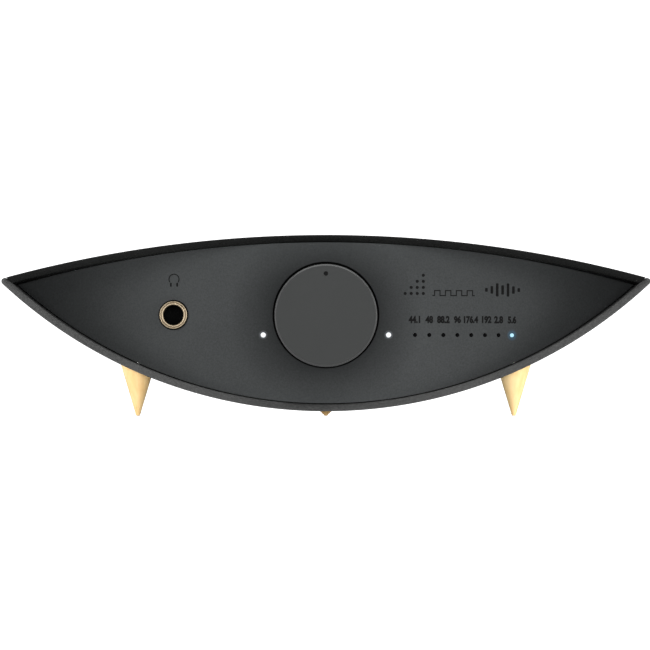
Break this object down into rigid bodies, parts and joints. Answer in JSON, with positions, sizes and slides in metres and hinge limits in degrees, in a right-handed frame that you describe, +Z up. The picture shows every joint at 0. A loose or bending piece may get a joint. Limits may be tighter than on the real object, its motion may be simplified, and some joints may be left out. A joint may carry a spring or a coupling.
{
  "type": "desktop audio converter",
  "caption": "Lens-shaped desktop audio converter with a central volume knob, headphone socket, lamp row and three wooden cone feet.",
  "frame": {"origin": "on the table, under the middle of the bounding box", "axes": "+X right as seen from the front, +Y towards the back, +Z up"},
  "size_m": [0.208, 0.16, 0.058],
  "materials": {
    "shell": "fine-grained charcoal powder coat, matt",
    "cover": "fine-grained black powder coat, matt",
    "front_panel": "fine spark-eroded charcoal moulding, matt",
    "rear_panel": "fine spark-eroded black moulding, matt",
    "wood": "pale turned hardwood, fine straight grain, satin oil",
    "zinc_screws": "zinc plated",
    "black_screws": "black oxide",
    "knob": "charcoal anodised, satin, with a polished edge",
    "black_plastic": "moulded",
    "steel": "ground",
    "nickel": "satin nickel plate",
    "brass": "turned",
    "gold": "gold flash, bright",
    "lit_white": "clear light pipe, lit white",
    "dark_lens": "smoked light pipe, unlit",
    "lit_blue": "clear light pipe, lit blue",
    "led": "surface mount lamp",
    "circuit_board": "solder resist",
    "ribbon": "flat cable",
    "ivory_plastic": "moulded",
    "capacitor_sleeve": "shrink sleeve",
    "red_plastic": "moulded",
    "white_plastic": "moulded",
    "relay_case": "moulded",
    "chip": "moulded package",
    "ferrite": "ferrite",
    "xlr_metal": "black chromate die casting"
  },
  "bodies": {
    "chassis": {"lower_shell": "shell", "top_cover": "cover", "front_panel": "front_panel", "rear_panel": "rear_panel", "foot_front_left": "wood", "foot_front_right": "wood", "foot_rear": "wood", "foot_screws": "zinc_screws", "cover_screws": "black_screws", "board_screws": "zinc_screws", "panel_screws": "zinc_screws", "front_board_screws": "zinc_screws", "xlr_screws": "black_screws", "pot_body": "nickel", "pot_bushing": "brass", "pot_washer": "zinc_screws", "pot_nut": "nickel", "jack_bushing": "gold", "jack_body": "black_plastic", "jack_contacts": "brass", "status_light_pipes": "lit_white", "rate_light_pipes": "dark_lens", "lit_light_pipe": "lit_blue", "status_leds": "led", "rate_leds": "led", "main_board": "circuit_board", "front_board": "circuit_board", "ribbon_cable": "ribbon", "ribbon_sockets": "ivory_plastic", "power_capacitors": "capacitor_sleeve", "signal_capacitors": "capacitor_sleeve", "film_capacitors": "red_plastic", "output_relays": "relay_case", "converter_chip": "chip", "usb_controller_chip": "chip", "amplifier_chips": "chip", "clock_oscillators": "nickel", "regulators": "chip", "power_inductors": "ferrite", "xlr_housing_left": "xlr_metal", "xlr_housing_right": "xlr_metal", "xlr_inserts": "black_plastic", "xlr_pins": "gold", "rca_ring_left": "white_plastic", "rca_ring_right": "red_plastic", "rca_bodies": "black_plastic", "rca_sleeves": "gold", "rca_inserts": "white_plastic", "usb_shell": "nickel", "usb_core": "black_plastic", "usb_contacts": "gold"},
    "volume": {"knob_cap": "knob", "knob_core": "black_plastic", "pot_shaft": "steel"}
  },
  "joints": [
    {"name": "volume_turn", "type": "hinge", "parent": "chassis", "child": "volume", "pos_m": [0, -0.07, 0.03206], "axis": [0, 1, 0], "range_deg": [-150, 150]}
  ]
}
